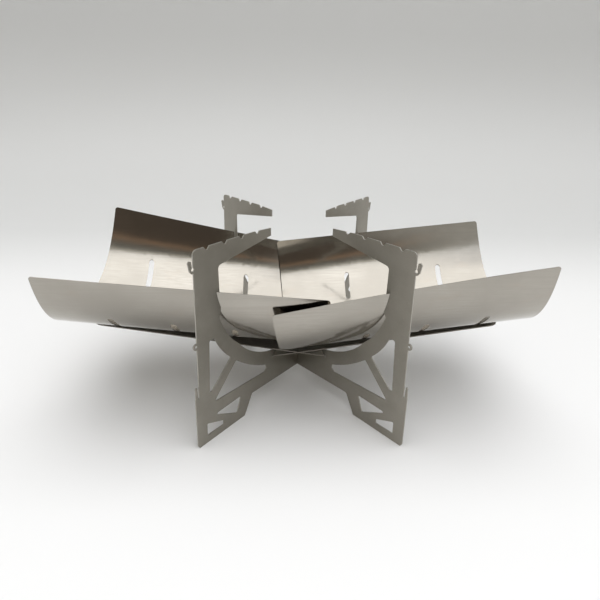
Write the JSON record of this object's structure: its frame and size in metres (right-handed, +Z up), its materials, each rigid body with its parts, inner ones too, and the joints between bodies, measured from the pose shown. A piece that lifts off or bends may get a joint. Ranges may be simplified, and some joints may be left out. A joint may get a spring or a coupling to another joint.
{
  "type": "folding fire pit",
  "caption": "Knock-down sheet-metal fire pit: crossed leg plates with notched arms carry flat support bars and springy panels bent into a long trough.",
  "frame": {"origin": "on the floor, midway between the four feet", "axes": "+Z up; +X along the trough; +Y to the back, across the trough"},
  "size_m": [0.4904, 0.2518, 0.2],
  "materials": {
    "leg_plate": "satin titanium sheet, warm grey",
    "support_bar": "satin titanium sheet, warm grey",
    "fire_panel": "thin rolled titanium foil with a soft sheen"
  },
  "bodies": {
    "stand": {"leg_plate_over": "leg_plate", "leg_plate_under": "leg_plate", "support_bar_right": "support_bar", "support_bar_left": "support_bar"},
    "bowl": {"fire_panel_right": "fire_panel", "fire_panel_left": "fire_panel"}
  },
  "joints": [
    {"name": "bowl_lift", "type": "slide", "parent": "stand", "child": "bowl", "axis": [0, 0, 1], "range_m": [0, 0.018]}
  ]
}
